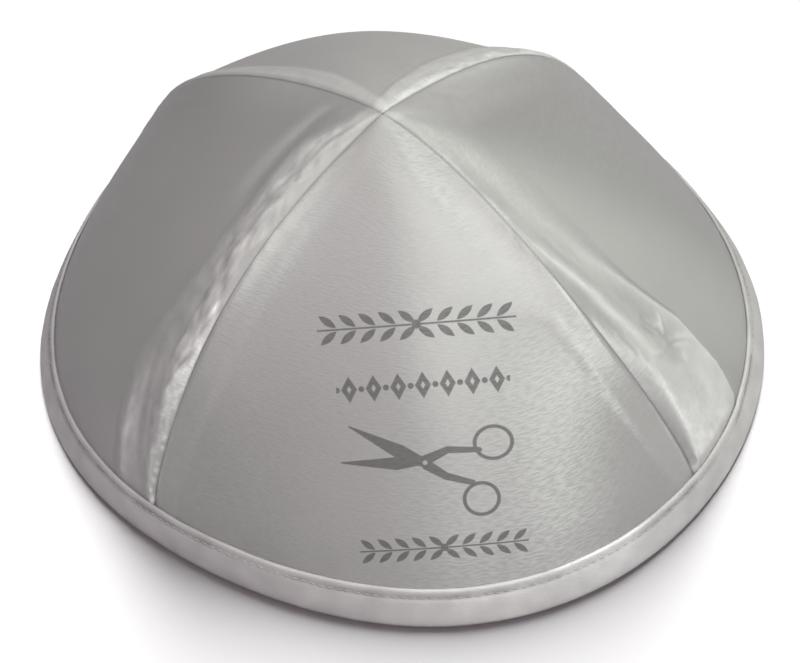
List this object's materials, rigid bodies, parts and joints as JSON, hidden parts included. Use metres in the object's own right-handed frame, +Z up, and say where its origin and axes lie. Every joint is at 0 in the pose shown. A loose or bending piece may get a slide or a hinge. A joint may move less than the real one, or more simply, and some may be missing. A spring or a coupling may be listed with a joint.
{
  "type": "kippah skullcap",
  "caption": "Soft satin skullcap of gores sewn to a point, with a bias binding folded over its rim and an open hollow for the head.",
  "frame": {"origin": "on the surface that the rim rests on, under the middle of the rim", "axes": "+Z up through the peak, the front gore towards -Y, +X towards the right gore"},
  "size_m": [0.174, 0.1748, 0.0707],
  "materials": {
    "white_satin": "white satin, soft gloss across the weave",
    "binding_satin": "white satin bias tape with a row of machine stitches"
  },
  "bodies": {
    "root": {"panel_front": "white_satin", "panel_right": "white_satin", "panel_back": "white_satin", "panel_left": "white_satin", "rim_binding": "binding_satin"}
  },
  "joints": []
}
